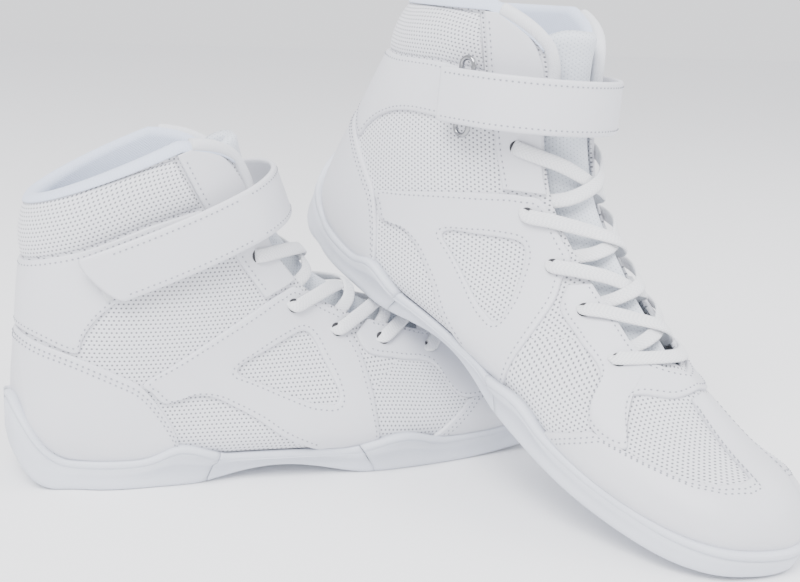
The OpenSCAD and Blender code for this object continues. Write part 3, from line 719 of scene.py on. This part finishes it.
def sole_half(x, side):
    """Outer, top and inner points of the sole wall on one side of a section."""
    z = outline_z(x)
    wall = outline_point(x, z, side, 3.8)
    tip = outline_point(x, z, side, 1.2)
    edge = outline_point(x, z, side, 2.6)
    inset = outline_point(x, z, side, 3.5)
    top = sole_top(wall.x)
    high = max(z, top)
    brow = outline_point(x, high, side, 3.8)
    groove = outline_point(x, high, side, 3.25)
    lip = outline_point(x, high, side, 3.1)
    inner = outline_point(x, high, side, -0.5)
    base = outline_point(x, z, side, 1.0)
    low = sole_under(wall.x)
    tall = top - low

    def at(p, z_here):
        return Vector((p.x, p.y, z_here))

    return [at(tip, sole_under(tip.x)), at(edge, sole_under(edge.x) + 0.5),
            at(inset, low + 1.6), at(wall, low + 3.2), at(wall, low + tall * 0.5),
            at(brow, top - 3.3), at(groove, top - 3.0), at(groove, top - 2.6),
            at(brow, top - 2.3), at(brow, top - 0.7), at(lip, top - 0.1), at(inner, top),
            at(base, sole_floor(base.x))]


def slanted(p):
    """The joints between the sole units lean: back up to the heel, forward down to the toe."""
    shift = 5 * math.exp(-((p.x - HEEL_END) / 9) ** 2) - 9 * math.exp(-((p.x - SHANK_END) / 14) ** 2)
    return Vector((p.x + shift * clamp((p.z - 2) / 12), p.y, p.z))


def sole_unit(x0, x1, n):
    def turn(x):
        return math.acos(1 - 2 * (x - SOLE_BACK) / SOLE_RUN)
    sections = []
    for i in range(n + 1):
        x = SOLE_BACK + SOLE_RUN * (1 - math.cos(turn(x0) + (turn(x1) - turn(x0)) * i / n)) / 2
        xc = 10 + 238 * (x - SOLE_BACK) / SOLE_RUN
        lateral, medial = sole_half(x, LATERAL), sole_half(x, MEDIAL)
        under = Vector((xc, centre(xc), sole_under(xc)))
        floor = Vector((xc, centre(xc), sole_floor(xc)))
        sections.append([slanted(p) for p in [under] + lateral + [floor] + medial[::-1]])
    return loft(sections)


put("heel_outsole", sole_unit(SOLE_BACK, HEEL_END, 60), WHITE_RUBBER, "shoe",
    ("heel_outsole",))
put("shank", sole_unit(HEEL_END + CUT, SHANK_END, 40), SHANK_PLASTIC, "shoe", ("shank",))
put("forefoot_outsole", sole_unit(SHANK_END + CUT, SOLE_FRONT, 90), WHITE_RUBBER, "shoe",
    ("forefoot_outsole",))


# ---------------------------------------------------------------- lining and footbed
def collar_roll():
    """Lining with its foam: from the outer seam over the top edge and down inside."""
    columns, rows = 140, 60
    bulge = 3.1

    def spot(i, j):
        k = 2 * i / columns - 1
        w = k * 0.78
        top = rim(w) + 0.12
        f = j / rows
        if f < 0.35:
            turn = math.pi * f / 0.35
            out = -2.4 + bulge * math.cos(turn)
            return skin(top - 0.22 * math.sin(turn), w, out)
        s = (f - 0.35) / 0.65
        t = top + (6.3 - top) * s
        return skin(t, w * (1 - 0.1 * s), -5.5 + 1.7 * ease((t - 3.4) / 1.5))

    bm = grid(columns, rows, spot)
    bmesh.ops.recalc_face_normals(bm, faces=bm.faces)
    return bm


put("collar_lining", thick(collar_roll(), 0.5), LINING_CLOTH, "shoe",
    ("collar_lining", "collar_foam"))


def footbed():
    columns, rows = 24, 60

    def spot(i, j):
        w = (2 * i / columns - 1) * 0.2
        t = 7 + 8 * j / rows
        return skin(t, w, -4.9)

    bm = grid(columns, rows, spot)
    bmesh.ops.recalc_face_normals(bm, faces=bm.faces)
    return bm


put("sockliner", thick(footbed(), 1.6), LINING_CLOTH, "shoe", ("sockliner",))


# ---------------------------------------------------------------- tongue
TONGUE_HALF = 1.9


def tongue_depth(w):
    return -2.6 - 3.0 * ease((1 - w) / 0.2)


def tongue_sections():
    sections = []
    n, m = 70, 26
    for i in range(n + 1):
        v = i / n
        t_low = 10.95
        row_top, row_low = [], []
        for j in range(m + 1):
            u = j / m
            w = 0.745 + 0.51 * u
            f = w if w <= 1 else 2 - w
            t0 = 0.5 + 0.4 * (abs(2 * u - 1)) ** 4
            t = t0 + (t_low - t0) * v
            fat = (1 - abs(2 * u - 1) ** 6) ** 0.5 * (1 - (1 - clamp(v / 0.02)) ** 2) ** 0.5
            middle = tongue_depth(f) - TONGUE_HALF
            row_top.append(skin(t, w, middle + TONGUE_HALF * fat))
            row_low.append(skin(t, w, middle - TONGUE_HALF * fat))
        sections.append(row_top + row_low[::-1])
    return sections


put("tongue", loft(tongue_sections()), TONGUE_KNIT_HOLE_SHADE, "tongue",
    ("tongue", "tongue_lining"))


# ---------------------------------------------------------------- laces
def crossing(i, side, lift):
    """Lace from eyelet i on one side, over the tongue, under the edge at the next eyelet."""
    ta, tb = EYELETS[i], EYELETS[i + 1]
    d = tb - ta
    return [(ta, side * EYELET_W, 2.4), (ta + 0.08 * d, side * 0.79, 2.6),
            (ta + 0.2 * d, side * 0.87, 1.6), (ta + 0.42 * d, side, lift),
            (ta + 0.66 * d, -side * 0.87, 0.5), (tb - 0.2 * d, -side * 0.77, -2.6)]


def lace_end(side):
    return [(2, side * 0.7, -3.3), (2.7, side * 0.7, -3.3), (3.3, side * 0.725, -2.4)]


def lace_route():
    last = len(EYELETS) - 1
    route = lace_end(MEDIAL)
    for i in range(last):
        route += crossing(i, MEDIAL if i % 2 == 0 else LATERAL, -0.7)
    route += [(EYELETS[last], EYELET_W, 2.2), (10.3, 1, 1.6), (EYELETS[last], -EYELET_W, 2.2)]
    for i in range(last, 0, -1):
        route += crossing(i - 1, MEDIAL if i % 2 == 0 else LATERAL, 1.7)[::-1]
    return route + lace_end(LATERAL)[::-1]


def cord_sections(points, ups, width, thickness, n=14):
    """Rounded flat sections along a path."""
    sections = []
    for k, spot in enumerate(points):
        ahead = (points[min(k + 1, len(points) - 1)] - points[max(k - 1, 0)]).normalized()
        side = ahead.cross(ups[k]).normalized()
        up = side.cross(ahead)
        ring = []
        for j in range(n):
            a = 2 * math.pi * j / n
            c, s = math.cos(a), math.sin(a)
            ring.append(spot + side * (math.copysign(abs(c) ** 0.8, c) * width / 2)
                        + up * (math.copysign(abs(s) ** 0.8, s) * thickness / 2))
        sections.append(ring)
    return sections


def smooth_path(points, ups, steps):
    """Denser points on a smooth curve, with their up directions."""
    path, lifts = [], []
    n = (len(points) - 1) * steps
    for k in range(n + 1):
        path.append(Vector(along([tuple(p) for p in points], k / n)))
        lifts.append(Vector(along([tuple(p) for p in ups], k / n)))
    return path, lifts


ROUTE = lace_route()
lace_points = [skin(*p) for p in ROUTE]
lace_ups = [(skin(p[0], p[1], 1) - skin(p[0], p[1], 0)) for p in ROUTE]
lace_path, lace_lifts = smooth_path(lace_points, lace_ups, 7)
put("lace", loft(cord_sections(lace_path, lace_lifts, 5.6, 1.7)), LACE_BRAID, "shoe", ("lace",))

# Flat near-black discs over each eyelet: painted shade standing in for the punched holes.
holes = bmesh.new()
for t in EYELETS:
    for side in (LATERAL, MEDIAL):
        spot = skin(t, side * EYELET_W, OVERLAY_TOP + 0.24)
        up = (skin(t, side * EYELET_W, 1) - skin(t, side * EYELET_W, 0)).normalized()
        turn = up.to_track_quat("Z", "Y").to_matrix().to_4x4()
        bmesh.ops.create_cone(holes, cap_ends=True, segments=20, radius1=2.9, radius2=2.7, depth=0.3,
                              matrix=Matrix.Translation(spot) @ turn)
put("eyelet_hole_shade_discs", holes, EYELET_HOLE_SHADE, "shoe", ())

# ---------------------------------------------------------------- collar binding
BINDING_WIDTH = 5.0
PIPING = (0.06, 0.2, 0.4, 0.65, 0.95, 1.4, 1.9, 2.4, 2.9)
binding = bmesh.new()
for side in (LATERAL, MEDIAL):
    edge = [(t, side * (throat_reach(t) + 0.015)) for t in PIPING]
    points = [skin(t, w, -0.6) for t, w in edge]
    ups = [skin(t, w, 1) - skin(t, w, 0) for t, w in edge]
    join(binding, loft(cord_sections(*smooth_path(points, ups, 6), BINDING_WIDTH, BINDING_WIDTH)))
put("collar_binding", binding, BINDING, "shoe", ("collar_piping",))

# ---------------------------------------------------------------- strap
TILT = math.radians(21.55)
RISE = 71.6
STRAP_W = 21
STRAP_T = 2
STRAP = [
    (27, -29.9), (38, -33.2), (50, -35.3), (62, -36.1), (76, -35.3), (89, -32), (97, -27.6),
    (104, -19.8), (108.6, -9.5), (110, 2), (108.4, 13), (104, 22.8), (97.5, 30.4), (90, 35.6),
    (82, 38), (66, 38), (64, 37.2), (63.2, 35.2), (64, 33.2), (66, 32.4), (72, 32.4),
]


def strap_point(x, y, height):
    """Point of the strap's own tilted plane: x, y in plan, height across the strap."""
    return Vector((x - math.sin(TILT) * height, y, RISE + x * math.tan(TILT) + math.cos(TILT) * height))


def strap_line(s):
    """Plan point and outward direction at s, a length along the strap."""
    x, y = along(STRAP, s)
    ax, ay = along(STRAP, clamp(s - 0.002))
    bx, by = along(STRAP, clamp(s + 0.002))
    d = math.hypot(bx - ax, by - ay)
    return x, y, (by - ay) / d, -(bx - ax) / d


def strap_profile():
    """Points round the strap's cross-section as (height, depth)."""
    h, d, r = STRAP_W / 2, STRAP_T / 2, 0.7
    side = [(-h + r, d), (-h * 0.82, d), (-h * 0.5, d * 1.05), (0, d * 1.1),
            (h * 0.5, d * 1.05), (h * 0.82, d), (h - r, d), (h - 0.15, d * 0.6), (h, 0),
            (h - 0.15, -d * 0.6)]
    return side + [(-a, -b) for a, b in side]


def strap_start(height):
    """The free end is cut on a slant, with round corners."""
    f = 0.5 - height / STRAP_W
    return 0.038 * f + 0.010 * abs(2 * f - 1) ** 5


def strap_sections(n=220):
    sections = []
    for i in range(n + 1):
        ring = []
        for height, depth in strap_profile():
            first = strap_start(height)
            x, y, nx, ny = strap_line(first + (1 - first) * i / n)
            ring.append(strap_point(x + nx * depth, y + ny * depth, height))
        sections.append(ring)
    return sections


for side, piece in zip(("right", "left"), put("strap", loft(strap_sections()), SMOOTH_OVERLAY, None,
                                               ("strap", "strap_tail"))):
    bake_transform(piece)

strap_stitches = {"shoe": bmesh.new(), "strap_tail": bmesh.new()}
for height in (-8.3, 8.3):
    for body, (s0, s1) in {"strap_tail": (0.05, 0.245), "shoe": (0.26, 0.76)}.items():
        points, normals = [], []
        for k in range(201):
            x, y, nx, ny = strap_line(s0 + (s1 - s0) * k / 200)
            points.append(strap_point(x + nx * 1.05, y + ny * 1.05, height))
            normals.append(Vector((nx, ny, 0)))
        stitch_row(strap_stitches[body], points, normals)
# The stitching takes the dark thread material: painted shade of the needle holes.
put("strap_stitching", strap_stitches["shoe"], THREAD_HOLE_SHADE, "shoe", ())
put("strap_tail_stitching", strap_stitches["strap_tail"], THREAD_HOLE_SHADE, "strap_tail", ())
put("stitching", stitches, THREAD_HOLE_SHADE, "shoe", ())

# ---------------------------------------------------------------- carried-over pieces
FINISHES = {
    "insole_board": FIBRE_BOARD, "heel_counter": FIBRE_BOARD, "toe_puff": FIBRE_BOARD,
    "lace_tips": TIP_PLASTIC, "hook_patch": HOOK_TAPE, "loop_patch": HOOK_TAPE,
    "strap_ring": CHROME, "ring_tab": SMOOTH_OVERLAY,
}
for side in ("right", "left"):
    for node, material in FINISHES.items():
        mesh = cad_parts[f"{side}_{node}"].data
        mesh.materials.clear()
        mesh.materials.append(material)

# ---------------------------------------------------------------- floor, light and camera
FLOOR = grained("floor", (0.95, 0.95, 0.96), (0.94, 0.94, 0.95), 0.8, 40, 0.2, 0.2, 0.02)


def floor():
    bm = bmesh.new()
    bmesh.ops.create_grid(bm, x_segments=1, y_segments=1, size=4.0)
    mesh = bpy.data.meshes.new("floor")
    bm.to_mesh(mesh)
    bm.free()
    mesh.materials.append(FLOOR)
    piece = bpy.data.objects.new("floor", mesh)
    bpy.context.scene.collection.objects.link(piece)


def softbox(name, spot, target, size, power, colour):
    light = bpy.data.lights.new(name, "AREA")
    light.size = size
    light.energy = power
    light.color = colour
    lamp = bpy.data.objects.new(name, light)
    lamp.location = spot
    lamp.rotation_euler = (Vector(target) - Vector(spot)).to_track_quat("-Z", "Y").to_euler()
    bpy.context.scene.collection.objects.link(lamp)


def daylight(colour, strength):
    world = bpy.data.worlds.new("studio")
    world.use_nodes = True
    background = world.node_tree.nodes["Background"]
    background.inputs["Color"].default_value = (*colour, 1)
    background.inputs["Strength"].default_value = strength
    bpy.context.scene.world = world


def camera():
    """Camera set by its place, its turn, its tip down and its roll."""
    yaw, pitch, roll = 0.402, 0.216, 0.043
    ahead = Vector((math.sin(yaw) * math.cos(pitch), math.cos(yaw) * math.cos(pitch), -math.sin(pitch)))
    right = Vector((math.cos(yaw), -math.sin(yaw), 0))
    up = right.cross(ahead)
    c, s = math.cos(roll), math.sin(roll)
    right, up = right * c + up * s, up * c - right * s
    turn = Matrix((right, up, -ahead)).transposed()
    data = bpy.data.cameras.new("camera")
    data.lens = 60.4
    data.clip_start = 0.01
    eye = bpy.data.objects.new("camera", data)
    eye.location = (Vector((-55.5, -521.8, 192)) - ORIGIN) * MM
    eye.rotation_euler = turn.to_euler()
    bpy.context.scene.collection.objects.link(eye)
    bpy.context.scene.camera = eye


floor()
softbox("key", (-0.7, -0.9, 1.5), (0.08, 0, 0.05), 1.1, 58, (1, 1, 1))
softbox("fill", (1.1, -0.5, 0.9), (0.08, 0, 0.05), 1.2, 12, (0.97, 0.98, 1))
daylight((0.96, 0.965, 1.0), 1.5)
camera()
